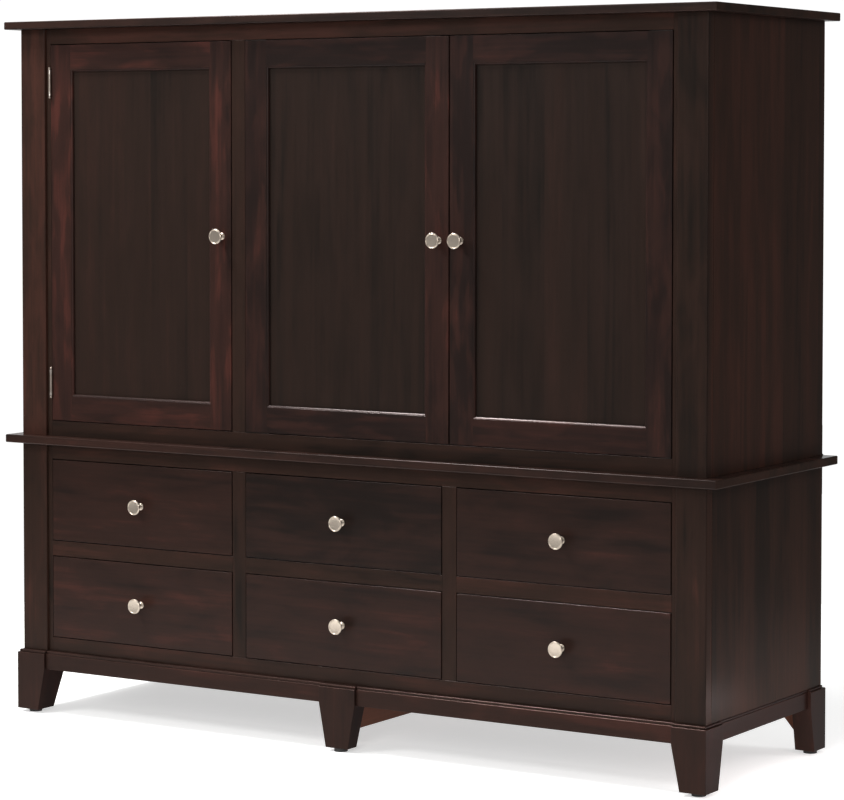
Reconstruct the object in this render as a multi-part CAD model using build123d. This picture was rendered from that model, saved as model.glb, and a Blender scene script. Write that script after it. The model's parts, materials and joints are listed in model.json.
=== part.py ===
from build123d import *
import os

os.makedirs("parts", exist_ok=True)

# An entertainment centre in two stacked units: a six-drawer chest on feet, and a three-door cabinet on it.
# The origin is on the floor under the middle. +X is to the right, +Y to the back and +Z up.
# Lengths are in mm.

# Driving sizes of the two cases
case_width = 1905.0
case_depth = 595.0
post_width = 75.0
post_proud = 8.0
frame_thickness = 19.0
stile_width = 38.0
end_strip_width = 13.0
rail_width = 37.5
bottom_rail_width = 35.0
panel_thickness = 19.0
back_thickness = 6.0
back_rabbet = 10.0
fit_gap = 2.0
face_proud = 1.5

# Boards that lie on the cases
top_thickness = 19.0
top_side_overhang = 32.0
top_front_overhang = 26.0
top_rear_overhang = 15.0
waist_thickness = 20.0
waist_side_overhang = 34.5
waist_front_overhang = 25.0
waist_rear_overhang = 10.0
board_edge_radius = 2.5
post_edge_radius = 2.5
front_edge_radius = 1.2

# Base
glide_height = 9.0
glide_radius = 16.0
apron_height = 39.0
apron_thickness = 20.0
foot_bottom_height = 9.0
apron_underside = 112.0
moulding_thickness = 6.5
moulding_setback = 4.0
moulding_edge_radius = 2.5
foot_side_proud = 8.0
foot_front_proud = 15.0
foot_rear_proud = 9.0
foot_step = 8.0
front_foot_width = 85.0
front_foot_depth = 84.0
front_foot_taper = 21.0
middle_foot_width = 100.0
middle_foot_depth = 46.0
middle_foot_taper = 19.0
rear_foot_width = 49.0
rear_foot_depth = 81.0
rear_foot_taper = 20.0
foot_edge_radius = 2.0
runner_thickness = 20.0
runner_drop = 68.0
gusset_reach = 76.0
gusset_drop = 86.0
gusset_thickness = 18.0

# Drawers
drawer_height = 200.0
box_board = 12.7
box_rear_clearance = 62.0
box_bottom_lift = 14.0
box_height = 160.0
drawer_bottom_thickness = 6.0
drawer_bottom_lift = 10.0
groove_depth = 6.0
slide_thickness = 12.7
slide_height = 45.0
slide_wall = 1.4
slide_clearance = 0.5
slide_lift = 40.0
slide_setback = 4.0
spacer_margin = 6.0

# Doors
door_height = 928.0
meeting_gap = 4.0
member_width = 66.0
sticking_width = 5.0
sticking_quirk = 1.0
panel_recess = 8.0
door_panel_thickness = 6.0
panel_slack = 1.5
panel_groove = 9.0

# Knobs
knob_radius = 18.7
knob_projection = 29.0
knob_collar_radius = 9.5
knob_collar_thickness = 2.4
knob_ring_radius = 7.6
knob_ring_thickness = 2.2
knob_neck_radius = 5.0
knob_head_depth = 9.5
knob_rim_thickness = 4.4
knob_rim_width = 3.2
knob_dish_depth = 1.0
door_knob_height = 1199.0
door_knob_inset = 27.0

# Hinges
leaf_thickness = 0.85
butt_barrel_radius = 3.5
butt_pin_radius = 1.6
pin_clearance = 0.05
butt_length = 64.0
butt_tip_radius = 3.4
butt_leaf_width = 20.0
butt_offset = 93.0
butt_knuckles = 5
knuckle_gap = 0.3
pivot_inset = 3.8
pivot_pin_radius = 1.5
pivot_pin_length = 12.0
pivot_leaf_length = 55.0
pivot_leaf_width = 10.0
pivot_boss_radius = 3.0
pivot_bore_clearance = 0.8

# Inside fittings
shelf_thickness = 19.0
shelf_count = 3
shelf_side_clearance = 1.5
shelf_front_setback = 25.0
shelf_pin_radius = 3.0
shelf_pin_length = 14.0
shelf_pin_inset = 40.0
catch_width = 40.0
catch_depth = 16.0
catch_height = 14.0
plate_width = 16.0
plate_height = 70.0
plate_thickness = 2.5
plate_inset = 9.0
plate_screw_radius = 5.0
plate_screw_height = 4.5
plate_screw_share = 0.25

# Numbers that pick edges and shape arcs
edge_tolerance = 0.01
upright_share = 0.5
arc_middle_share = 1 - 0.5 ** 0.5

# Planes worked out from the driving sizes
half_width = case_width / 2
post_front = -(top_front_overhang + case_depth + top_rear_overhang) / 2 + top_front_overhang
frame_front = post_front + post_proud
frame_back = frame_front + frame_thickness
face_front = frame_front - face_proud
door_thickness = frame_back - face_front
case_back = post_front + case_depth
back_front = case_back - back_thickness
box_length = back_front - frame_back - box_rear_clearance
inner_side = half_width - panel_thickness
open_side = half_width - post_width - end_strip_width
column_width = (2 * open_side - 2 * stile_width) / 3
column_starts = [-open_side + i * (column_width + stile_width) for i in range(3)]

base_top = apron_underside + apron_height
case_bottom = base_top + moulding_thickness
opening_height = drawer_height + 2 * fit_gap
row_starts = [case_bottom + bottom_rail_width]
row_starts.append(row_starts[0] + opening_height + rail_width)
waist_bottom = row_starts[1] + opening_height + rail_width
waist_top = waist_bottom + waist_thickness
door_opening_bottom = waist_top + rail_width
door_opening_top = door_opening_bottom + door_height + 2 * fit_gap
top_bottom = door_opening_top + rail_width
top_top = top_bottom + top_thickness
door_bottom = door_opening_bottom + fit_gap
door_top = door_bottom + door_height
tv_start = column_starts[1]
tv_end = open_side
tv_door_width = (tv_end - tv_start - 2 * fit_gap - meeting_gap) / 2
left_door_width = column_width - 2 * fit_gap

rows = {"lower": row_starts[0], "upper": row_starts[1]}
columns = {"left": column_starts[0], "middle": column_starts[1], "right": column_starts[2]}


def block(x0, x1, y0, y1, z0, z1):
    """A box between two corners."""
    return Pos((x0 + x1) / 2, (y0 + y1) / 2, (z0 + z1) / 2) * Box(x1 - x0, y1 - y0, z1 - z0)


def upright_edges(shape, y, x_places=None):
    """The vertical edges of a shape that lie on the plane y, at the given x places if there are any."""
    picked = []
    for edge in shape.edges().filter_by(Axis.Z):
        place = edge.center()
        beside = x_places is None or min(abs(place.X - x) for x in x_places) < edge_tolerance
        if abs(place.Y - y) < edge_tolerance and beside:
            picked.append(edge)
    return picked


def eased_panel(x0, x1, y0, y1, z0, z1, radius):
    """A board with all four edges of its front face rounded."""
    shape = block(x0, x1, y0, y1, z0, z1)
    return fillet(shape.faces().sort_by(Axis.Y)[0].edges(), radius)


def eased_board(x0, x1, y0, y1, z0, z1, radius):
    """A flat board with its upper and lower edges rounded."""
    shape = block(x0, x1, y0, y1, z0, z1)
    rims = shape.faces().sort_by(Axis.Z)[-1].edges() + shape.faces().sort_by(Axis.Z)[0].edges()
    return fillet(rims, radius)


def mirrored(shape):
    return mirror(shape, about=Plane.YZ)


def both_sides(shape):
    """A piece for the right side with its mirror image on the left."""
    return [mirrored(shape), shape]


def save(node, pieces):
    """Writes one node, as a solid or as a group of separate solids."""
    solids = [solid for piece in pieces for solid in piece.solids()]
    shape = solids[0] if len(solids) == 1 else Compound(children=solids)
    shape.label = node
    export_step(shape, "parts/" + node + ".step")


def top_boards():
    save("top_board", [eased_board(-half_width - top_side_overhang, half_width + top_side_overhang,
                                   post_front - top_front_overhang, case_back + top_rear_overhang,
                                   top_bottom, top_top, board_edge_radius)])
    save("waist_board", [eased_board(-half_width - waist_side_overhang, half_width + waist_side_overhang,
                                     post_front - waist_front_overhang, case_back + waist_rear_overhang,
                                     waist_bottom, waist_top, board_edge_radius)])


def corner_post(z0, z1):
    inner = half_width - post_width
    post = block(inner, half_width, post_front, frame_back, z0, z1)
    return fillet(upright_edges(post, post_front), post_edge_radius)


def side_panel(z0, z1):
    """A side with a rabbet along its back edge for the back panel."""
    side = block(inner_side, half_width, frame_back, case_back, z0, z1)
    outer = upright_edges(side, frame_back, [half_width])
    side = fillet(outer, front_edge_radius)
    return side - block(inner_side, inner_side + back_rabbet, back_front, case_back, z0, z1)


def cases():
    save("upper_corner_posts", both_sides(corner_post(waist_top, top_bottom)))
    save("lower_corner_posts", both_sides(corner_post(case_bottom, waist_bottom)))
    save("upper_side_panels", both_sides(side_panel(waist_top, top_bottom)))
    save("lower_side_panels", both_sides(side_panel(case_bottom, waist_bottom)))
    reach = inner_side + back_rabbet
    save("back_panels", [block(-reach, reach, back_front, case_back, case_bottom, waist_bottom),
                         block(-reach, reach, back_front, case_back, waist_top, top_bottom)])


def frame_block(x0, x1, z0, z1):
    return block(x0, x1, frame_front, frame_back, z0, z1)


def face_frames():
    post_inner = half_width - post_width
    strip_upper = frame_block(open_side, post_inner, waist_top, top_bottom)
    stile_start = column_starts[1] - stile_width
    pieces = both_sides(strip_upper)
    pieces.append(frame_block(-open_side, open_side, waist_top, door_opening_bottom))
    pieces.append(frame_block(-open_side, open_side, door_opening_top, top_bottom))
    pieces.append(frame_block(stile_start, column_starts[1], door_opening_bottom, door_opening_top))
    save("upper_face_frame", pieces)

    strip_lower = frame_block(open_side, post_inner, case_bottom, waist_bottom)
    pieces = both_sides(strip_lower)
    pieces.append(frame_block(-open_side, open_side, case_bottom, row_starts[0]))
    pieces.append(frame_block(-open_side, open_side, waist_bottom - rail_width, waist_bottom))
    for start in column_starts[1:]:
        pieces.append(frame_block(start - stile_width, start, row_starts[0], waist_bottom - rail_width))
    for start in column_starts:
        pieces.append(frame_block(start, start + column_width, row_starts[1] - rail_width, row_starts[1]))
    save("lower_face_frame", pieces)


def partition_places():
    """The X range of the upright boards that stand behind the two inner stiles."""
    centres = [start - stile_width / 2 for start in column_starts[1:]]
    return [(centre - panel_thickness / 2, centre + panel_thickness / 2) for centre in centres]


def inner_boards():
    places = partition_places()
    upper_floor_top = door_opening_bottom
    lower_floor_top = case_bottom + panel_thickness
    upright = [block(x0, x1, frame_back, back_front, lower_floor_top, waist_bottom) for x0, x1 in places]
    upright.append(block(*places[0], frame_back, back_front, upper_floor_top, top_bottom))
    save("partitions", upright)
    save("floor_boards", [
        block(-inner_side, inner_side, frame_back, back_front, case_bottom, lower_floor_top),
        block(-inner_side, inner_side, frame_back, back_front, upper_floor_top - panel_thickness,
              upper_floor_top)])


def shelves():
    """Adjustable shelves behind the left door, each on four pins in the side and the partition."""
    x0 = -inner_side
    x1 = partition_places()[0][0]
    y0 = frame_back + shelf_front_setback
    step = (door_opening_top - door_opening_bottom) / (shelf_count + 1)
    boards = []
    pins = []
    for i in range(shelf_count):
        z = door_opening_bottom + (i + 1) * step
        boards.append(block(x0 + shelf_side_clearance, x1 - shelf_side_clearance,
                            y0, back_front - shelf_side_clearance, z, z + shelf_thickness))
        for y in (y0 + shelf_pin_inset, back_front - shelf_side_clearance - shelf_pin_inset):
            pin = Rot(0, 90, 0) * Cylinder(shelf_pin_radius, shelf_pin_length)
            pin = Pos(0, y, z - shelf_pin_radius) * pin
            reach = shelf_pin_length / 2
            pins.append(Pos(x0 + reach, 0, 0) * pin)
            pins.append(Pos(x1 - reach, 0, 0) * pin)
    save("adjustable_shelves", boards)
    save("shelf_pins", pins)


def catches():
    """Magnetic catches under the header, behind each door near its free edge."""
    left_free = column_starts[0] + fit_gap + left_door_width
    middle_free = tv_start + fit_gap + tv_door_width
    right_free = middle_free + meeting_gap
    pieces = []
    for edge, side in ((left_free, -1), (middle_free, -1), (right_free, 1)):
        near = edge + side * member_width / 2
        far = near + side * catch_width
        pieces.append(block(min(near, far), max(near, far), frame_back, frame_back + catch_depth,
                            door_opening_top - catch_height, door_opening_top + catch_height))
    save("door_catches", pieces)


def tapered_foot(x0, x1, y0, y1, taper_x0, taper_x1, taper_y0, taper_y1, rounded):
    """A foot that is straight above the apron's underside and narrows below it."""
    front_view = Polyline((x0, base_top), (x0, apron_underside), (x0 + taper_x0, foot_bottom_height),
                          (x1 - taper_x1, foot_bottom_height), (x1, apron_underside), (x1, base_top), close=True)
    side_view = Polyline((y0, base_top), (y0, apron_underside), (y0 + taper_y0, foot_bottom_height),
                         (y1 - taper_y1, foot_bottom_height), (y1, apron_underside), (y1, base_top), close=True)
    along_y = Pos(0, y1, 0) * extrude(Plane.XZ * make_face(front_view), amount=y1 - y0)
    along_x = Pos(x0, 0, 0) * extrude(Plane.YZ * make_face(side_view), amount=x1 - x0)
    foot = along_y & along_x
    top = foot.faces().sort_by(Axis.Z)[-1]
    picked = [edge for edge in top.edges() if rounded(edge.center())]
    return fillet(picked, foot_edge_radius)


def foot_boxes():
    """The outline of each foot seen from above, as X and Y ranges for the right side and the middle."""
    outer = half_width + foot_side_proud
    front = post_front - foot_front_proud
    rear = case_back + foot_rear_proud
    corner = (outer - front_foot_width, outer, front, front + front_foot_depth)
    middle = (-middle_foot_width / 2, middle_foot_width / 2, front, front + middle_foot_depth)
    back = (outer - rear_foot_width, outer, rear - rear_foot_depth, rear)
    return corner, middle, back


def feet():
    corner, middle, back = foot_boxes()
    near = edge_tolerance
    corner_foot = tapered_foot(*corner, front_foot_taper, 0, 0, front_foot_taper,
                               lambda c: abs(c.X - corner[1]) < near or abs(c.Y - corner[2]) < near)
    middle_foot = tapered_foot(*middle, middle_foot_taper, middle_foot_taper, 0, foot_step,
                               lambda c: abs(c.Y - middle[2]) < near)
    rear_foot = tapered_foot(*back, 0, 0, rear_foot_taper, 0, lambda c: abs(c.X - back[1]) < near)
    save("front_feet", both_sides(corner_foot) + [middle_foot])
    save("rear_feet", both_sides(rear_foot))

    glide = Cylinder(glide_radius, glide_height)
    corner_x = (corner[0] + front_foot_taper + corner[1]) / 2
    corner_y = (corner[2] + corner[3] - front_foot_taper) / 2
    middle_y = (middle[2] + middle[3] - foot_step) / 2
    back_x = (back[0] + back[1]) / 2
    back_y = (back[2] + rear_foot_taper + back[3]) / 2
    places = [(corner_x, corner_y), (-corner_x, corner_y), (0, middle_y), (back_x, back_y), (-back_x, back_y)]
    save("floor_glides", [Pos(x, y, glide_height / 2) * glide for x, y in places])


def aprons():
    corner, middle, back = foot_boxes()
    front = post_front - foot_front_proud + foot_step
    side = half_width + foot_side_proud - foot_step
    rear = case_back + foot_rear_proud - foot_step
    z0 = apron_underside
    radius = foot_edge_radius
    pieces = []
    for x0, x1 in ((-corner[0], middle[0]), (middle[1], corner[0])):
        board = block(x0, x1, front, front + apron_thickness, z0, base_top)
        edge = board.faces().sort_by(Axis.Y)[0].edges().sort_by(Axis.Z)[-1]
        pieces.append(fillet(edge, radius))
    board = block(side - apron_thickness, side, corner[3], back[2], z0, base_top)
    edge = board.faces().sort_by(Axis.X)[-1].edges().sort_by(Axis.Z)[-1]
    pieces += both_sides(fillet(edge, radius))
    pieces.append(block(-back[0], back[0], rear - apron_thickness, rear, z0, base_top))
    save("base_aprons", pieces)

    runner_front = middle[3]
    runner = block(-runner_thickness / 2, runner_thickness / 2, runner_front, rear - apron_thickness,
                   apron_underside - runner_drop, base_top)
    save("base_braces", [runner] + both_sides(gusset(back, rear)))


def gusset(back, rear):
    """A three-cornered bracket between a rear foot and the rear apron."""
    x = back[0]
    z = apron_underside
    outline = Polyline((x, z), (x - gusset_reach, z), (x, z - gusset_drop), close=True)
    plate = extrude(Plane.XZ * make_face(outline), amount=gusset_thickness)
    return Pos(0, rear - apron_thickness + gusset_thickness, 0) * plate


def strip(x0, x1, y0, y1, sides):
    """A flat strip of the base moulding with rounded noses on the named sides."""
    piece = block(x0, x1, y0, y1, base_top, case_bottom)
    picked = []
    for face in sides:
        picked += face(piece).edges().filter_by(lambda edge: abs(edge.tangent_at(0).Z) < upright_share)
    return fillet(list(dict.fromkeys(picked)), moulding_edge_radius)


def right_face(shape):
    return shape.faces().sort_by(Axis.X)[-1]


def front_face(shape):
    return shape.faces().sort_by(Axis.Y)[0]


def base_moulding():
    """Thin boards on the base, each set back a little from the foot or apron that carries it."""
    corner, middle, back = foot_boxes()
    apron_front = post_front - foot_front_proud + foot_step + moulding_setback / 2
    apron_side = half_width + foot_side_proud - foot_step
    rear = case_back
    corner_piece = strip(corner[0], corner[1] - moulding_setback, corner[2] + moulding_setback, corner[3],
                         [right_face, front_face])
    rear_piece = strip(back[0], back[1] - moulding_setback, back[2], rear, [right_face])
    side_piece = strip(back[0], apron_side, corner[3], back[2], [right_face])
    middle_piece = strip(middle[0], middle[1], middle[2] + moulding_setback, middle[3], [front_face])
    front_piece = strip(middle[1], corner[0], apron_front, middle[3], [front_face])
    rear_board = block(-back[0], back[0], back[2], rear, base_top, case_bottom)
    pieces = [middle_piece, rear_board]
    for piece in (corner_piece, rear_piece, side_piece, front_piece):
        pieces += both_sides(piece)
    save("base_moulding", pieces)


def knob(x, z):
    """A round knob turned about the Y axis, standing on the face of a door or drawer."""
    collar = -knob_collar_thickness
    ring = collar - knob_ring_thickness
    head_back = knob_head_depth - knob_projection
    rim_back = knob_rim_thickness - knob_projection
    dish = knob_dish_depth - knob_projection
    rim_middle = (rim_back - knob_projection) / 2
    inner = knob_radius - knob_rim_width
    crest = knob_radius - knob_rim_width / 2
    waist = (knob_neck_radius + crest) / 2
    with BuildSketch() as outline:
        with BuildLine():
            Polyline((0, dish), (0, 0), (knob_collar_radius, 0), (knob_collar_radius, collar),
                     (knob_ring_radius, collar), (knob_ring_radius, ring), (knob_neck_radius, ring),
                     (knob_neck_radius, head_back))
            ThreePointArc((knob_neck_radius, head_back), (waist, rim_back + knob_dish_depth), (crest, rim_back))
            ThreePointArc((crest, rim_back), (knob_radius, rim_middle), (crest, -knob_projection))
            Polyline((crest, -knob_projection), (inner, dish), (0, dish))
        make_face()
    return Pos(x, face_front, z) * revolve(outline.sketch, Axis.Y)


def member(length):
    """A door member: its outer edge is at X zero, its face at Y zero and it stands on Z zero."""
    flat = member_width - sticking_width
    lip = sticking_quirk + sticking_width
    groove_back = panel_recess + door_panel_thickness
    groove_start = member_width - panel_groove
    middle = sticking_width * arc_middle_share
    with BuildSketch() as outline:
        with BuildLine():
            Polyline((0, 0), (flat, 0), (flat, sticking_quirk))
            ThreePointArc((flat, sticking_quirk), (member_width - middle, sticking_quirk + middle),
                          (member_width, lip))
            Polyline((member_width, lip), (member_width, panel_recess), (groove_start, panel_recess),
                     (groove_start, groove_back), (member_width, groove_back), (member_width, door_thickness),
                     (0, door_thickness), (0, 0))
        make_face()
    return extrude(outline.sketch, amount=length)


def door(name, x0, width, hinge_side, kind):
    """A frame of two stiles and two rails around a flat panel, with its knob and hinge leaves."""
    x1 = x0 + width
    flat = member_width - sticking_width
    stile = member(door_height)
    left = Pos(x0, face_front, door_bottom) * stile
    right = Pos(x1, face_front, door_bottom) * mirrored(stile)
    rail_length = width - 2 * flat
    rail = member(rail_length)
    bottom = Pos(x1 - flat, face_front, door_bottom) * Rot(0, -90, 0) * rail
    top = Pos(x0 + flat, face_front, door_top) * Rot(0, 90, 0) * rail
    groove_y = face_front + panel_recess
    tongue_back = groove_y + door_panel_thickness
    rails = []
    tongue = member_width - panel_groove
    for piece, z0, z1 in ((bottom, door_bottom, door_bottom + tongue), (top, door_top - tongue, door_top)):
        coped = piece - left - right
        for side, reach in ((x0 + member_width, -panel_groove), (x1 - member_width, panel_groove)):
            coped += block(min(side, side + reach), max(side, side + reach), groove_y, tongue_back, z0, z1)
        rails.append(coped)
    if kind == "pivot":
        left, right, hinges = pivot_leaves(x0, x1, hinge_side, left, right)
    else:
        hinges = butt_leaves()["door"]
    save(name + "_frame", [left, right] + rails)
    inset = member_width - panel_groove + panel_slack
    panel = block(x0 + inset, x1 - inset, groove_y, tongue_back, door_bottom + inset, door_top - inset)
    save(name + "_panel", [panel])
    knob_x = x1 - door_knob_inset if hinge_side < 0 else x0 + door_knob_inset
    save(name + "_knob", [knob(knob_x, door_knob_height)])
    save(name + "_hinges", hinges)


def butt_axis():
    """The X and Y of the left door's hinge pins."""
    return column_starts[0] + fit_gap / 2, face_front - butt_barrel_radius - knuckle_gap


def butt_leaves():
    """Two butt hinges: the leaves and knuckles on the door, and those on the frame with their pins."""
    x, y = butt_axis()
    knuckle = butt_length / butt_knuckles
    pieces = {"door": [], "frame": []}
    for centre in (door_bottom + butt_offset, door_top - butt_offset):
        bottom = centre - butt_length / 2
        for side, parity in (("door", 1), ("frame", 0)):
            near = x + fit_gap / 2 - leaf_thickness if side == "door" else x - fit_gap / 2
            leaf = block(near, near + leaf_thickness, y, y + butt_leaf_width, bottom, bottom + butt_length)
            for i in range(butt_knuckles):
                z = bottom + i * knuckle
                if i % 2 == parity:
                    leaf += Pos(x, y, z + knuckle / 2) * Cylinder(butt_barrel_radius, knuckle - knuckle_gap)
                else:
                    size = butt_barrel_radius + knuckle_gap
                    leaf -= Pos(x, y, z + knuckle / 2) * Cylinder(size, knuckle)
            eye = Cylinder(butt_pin_radius + pin_clearance, butt_length + 2 * knuckle_gap)
            leaf -= Pos(x, y, centre) * eye
            pieces[side].append(leaf)
        pin = Pos(x, y, centre) * Cylinder(butt_pin_radius, butt_length)
        for z in (bottom, bottom + butt_length):
            tip_z = z + butt_tip_radius if z > centre else z - butt_tip_radius
            pin += Pos(x, y, tip_z) * Sphere(butt_tip_radius)
        pieces["frame"].append(pin)
    return pieces


def pivot_places(x0, x1, hinge_side):
    x = x0 + pivot_inset if hinge_side < 0 else x1 - pivot_inset
    return x, face_front + pivot_inset


def pivot_leaf(x, y, hinge_side, z):
    """A flat strap with a round end about the pivot."""
    end = x - hinge_side * pivot_leaf_length
    plate = block(min(x, end), max(x, end), y, y + pivot_leaf_width, z, z + leaf_thickness)
    return plate + Pos(x, y, z + leaf_thickness / 2) * Cylinder(pivot_boss_radius, leaf_thickness)


def pivot_leaves(x0, x1, hinge_side, left, right):
    """Straps on the door's two ends, and the holes in its hinge stile that the pins turn in."""
    x, y = pivot_places(x0, x1, hinge_side)
    leaves = []
    bore = Cylinder(pivot_pin_radius + pivot_bore_clearance, pivot_pin_length)
    eye = Cylinder(pivot_pin_radius + pin_clearance, pivot_pin_length)
    for z, way in ((door_bottom, 1), (door_top, -1)):
        hole = Pos(x, y, z + way * pivot_pin_length / 2) * bore
        left -= hole
        right -= hole
        leaf = pivot_leaf(x, y, hinge_side, z - leaf_thickness if way > 0 else z)
        leaves.append(leaf - Pos(x, y, z) * eye)
    return left, right, leaves


def frame_hinges():
    """The frame's halves of the hinges: butt leaves with pins, and straps with pivot pins."""
    pieces = butt_leaves()["frame"]
    for x0, hinge_side in ((tv_start + fit_gap, -1), (tv_end - fit_gap - tv_door_width, 1)):
        x, y = pivot_places(x0, x0 + tv_door_width, hinge_side)
        for z, way in ((door_opening_bottom, 1), (door_opening_top, -1)):
            leaf = pivot_leaf(x, y, hinge_side, z if way > 0 else z - leaf_thickness)
            reach = fit_gap + pivot_pin_length - knuckle_gap
            pieces.append(leaf + Pos(x, y, z + way * reach / 2) * Cylinder(pivot_pin_radius, reach))
    save("hinge_frame_leaves", pieces)


def doors():
    door("door_left", column_starts[0] + fit_gap, left_door_width, -1, "butt")
    door("door_middle", tv_start + fit_gap, tv_door_width, -1, "pivot")
    door("door_right", tv_end - fit_gap - tv_door_width, tv_door_width, 1, "pivot")
    frame_hinges()


def drawer(row, column):
    """A front on a five-board box, with the sliding halves of its two slides and its knob."""
    name = "drawer_" + row + "_" + column
    z0 = rows[row] + fit_gap
    x0 = columns[column] + fit_gap
    x1 = columns[column] + column_width - fit_gap
    face = eased_panel(x0, x1, face_front, frame_back, z0, z0 + drawer_height, front_edge_radius)
    save(name + "_front", [face])
    save(name + "_knob", [knob((x0 + x1) / 2, z0 + drawer_height / 2)])

    box_x0 = columns[column] + slide_thickness
    box_x1 = columns[column] + column_width - slide_thickness
    inner_x0 = box_x0 + box_board
    inner_x1 = box_x1 - box_board
    y0 = frame_back
    y1 = y0 + box_length
    bottom = z0 + box_bottom_lift
    top = bottom + box_height
    panel_z0 = bottom + drawer_bottom_lift
    panel_z1 = panel_z0 + drawer_bottom_thickness
    panel = block(inner_x0 - groove_depth, inner_x1 + groove_depth, y0 + box_board - groove_depth, y1,
                  panel_z0, panel_z1)
    left = block(box_x0, inner_x0, y0, y1, bottom, top) - panel
    right = block(inner_x1, box_x1, y0, y1, bottom, top) - panel
    front = block(inner_x0, inner_x1, y0, y0 + box_board, bottom, top) - panel
    back = block(inner_x0, inner_x1, y1 - box_board, y1, panel_z1, top)
    save(name + "_box", [left, right, front, back, panel])

    slide_y0 = y0 + slide_setback
    centre = z0 + box_bottom_lift + slide_lift
    half = slide_height / 2 - slide_wall - slide_clearance
    bars = []
    for x, side in ((box_x0, -1), (box_x1, 1)):
        far = x + side * (slide_thickness - slide_wall - slide_clearance)
        bars.append(block(min(x, far), max(x, far), slide_y0, y1, centre - half, centre + half))
    save(name + "_slides", bars)


def slide_fixings():
    """The fixed channels of the drawer slides and the wood spacers that they are screwed to."""
    places = partition_places()
    walls = [(-inner_side, places[0][0]), (places[0][1], places[1][0]), (places[1][1], inner_side)]
    channels = []
    spacers = []
    y0 = frame_back + slide_setback
    y1 = frame_back + box_length
    for z_row in rows.values():
        centre = z_row + fit_gap + box_bottom_lift + slide_lift
        z0 = centre - slide_height / 2
        z1 = centre + slide_height / 2
        for start, (wall_x0, wall_x1) in zip(column_starts, walls):
            end = start + column_width
            for x, side, wall in ((start, 1, wall_x0), (end, -1, wall_x1)):
                far = x + side * slide_thickness
                channel = block(min(x, far), max(x, far), y0, y1, z0, z1)
                web = x + side * slide_wall
                hollow = block(min(web, far), max(web, far), y0, y1, z0 + slide_wall, z1 - slide_wall)
                channels.append(channel - hollow)
                spacers.append(block(min(x, wall), max(x, wall), frame_back, back_front,
                                     z0 - spacer_margin, z1 + spacer_margin))
    save("slide_channels", channels)
    save("slide_spacers", spacers)


def rear_plates():
    """Plates with screws that tie the two cases together across the waist board."""
    y = case_back
    centre_x = half_width - plate_inset
    plates = []
    reach = case_back + waist_rear_overhang
    for z0, z1 in ((waist_top, waist_top + plate_height), (waist_bottom - plate_height, waist_bottom)):
        plate = block(centre_x - plate_width / 2, centre_x + plate_width / 2, y, y + plate_thickness, z0, z1)
        foot_z = z0 if z0 == waist_top else z1 - plate_thickness
        plate += block(centre_x - plate_width / 2, centre_x + plate_width / 2, y, reach - board_edge_radius,
                       foot_z, foot_z + plate_thickness)
        for share in (plate_screw_share, 1 - plate_screw_share):
            z = z0 + share * (z1 - z0)
            screw = Rot(90, 0, 0) * Cylinder(plate_screw_radius, plate_screw_height)
            plate += Pos(centre_x, y + plate_thickness + plate_screw_height / 2, z) * screw
        plates += both_sides(plate)
    save("rear_tie_plates", plates)


top_boards()
cases()
face_frames()
inner_boards()
shelves()
catches()
feet()
aprons()
base_moulding()
doors()
slide_fixings()
rear_plates()
for row_name in rows:
    for column_name in columns:
        drawer(row_name, column_name)
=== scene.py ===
import json
import math
import random

import bmesh
import bpy
from mathutils import Euler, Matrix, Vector

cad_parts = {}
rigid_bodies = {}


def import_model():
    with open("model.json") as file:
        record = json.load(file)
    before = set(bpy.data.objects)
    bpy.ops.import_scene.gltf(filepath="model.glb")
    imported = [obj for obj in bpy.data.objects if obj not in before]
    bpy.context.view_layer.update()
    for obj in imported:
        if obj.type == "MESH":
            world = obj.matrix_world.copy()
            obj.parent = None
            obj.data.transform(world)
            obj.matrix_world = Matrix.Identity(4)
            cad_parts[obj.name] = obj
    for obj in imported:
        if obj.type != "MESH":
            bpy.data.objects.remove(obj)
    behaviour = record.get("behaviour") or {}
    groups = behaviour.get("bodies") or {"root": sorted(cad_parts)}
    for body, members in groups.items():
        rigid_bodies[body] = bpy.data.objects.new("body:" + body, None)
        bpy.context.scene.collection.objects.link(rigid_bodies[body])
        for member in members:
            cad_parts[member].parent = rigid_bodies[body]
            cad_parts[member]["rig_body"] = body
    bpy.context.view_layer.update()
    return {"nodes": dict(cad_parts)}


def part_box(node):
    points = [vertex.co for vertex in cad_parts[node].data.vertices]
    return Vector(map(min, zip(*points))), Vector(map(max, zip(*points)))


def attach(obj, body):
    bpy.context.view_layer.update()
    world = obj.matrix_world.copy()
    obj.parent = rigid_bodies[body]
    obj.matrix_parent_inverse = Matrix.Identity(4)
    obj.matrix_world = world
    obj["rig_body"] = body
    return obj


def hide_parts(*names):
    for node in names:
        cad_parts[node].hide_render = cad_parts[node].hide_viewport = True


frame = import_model()
nodes = frame["nodes"]

MM = 0.001
same_place = 0.001 * MM
drawer_rows = ("upper", "lower")
drawer_columns = ("left", "middle", "right")

# Wood
edge_bevel = 0.7 * MM
door_edge_bevel = 0.4 * MM
drawer_board = 12.7 * MM

# Butt hinges of the left door
leaf_thickness = 0.85 * MM
door_gap = 2.0 * MM
butt_length = 64.0 * MM
ball_tip_length = 6.8 * MM
first_hinge_screw = 14.0 * MM
hinge_screw_pitch = 18.0 * MM
hinge_screw_depths = (4.5 * MM, 7.5 * MM, 4.5 * MM)

# Shelf pins and drawer rails
pin_radius = 3.0 * MM
pin_hole_pitch = 32.0 * MM
rail_wall = 1.2 * MM
rail_lip = 3.0 * MM

# Camera, in pixels of the photograph, metres and degrees
photo_width = 844
photo_height = 800
focal_pixels = 2987.08
horizon_pixel = 280
eye_place = (3.85579, -6.05656, 1.40079)
view_turn = 32.2
view_drop = 2.46
view_roll = -0.03


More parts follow.
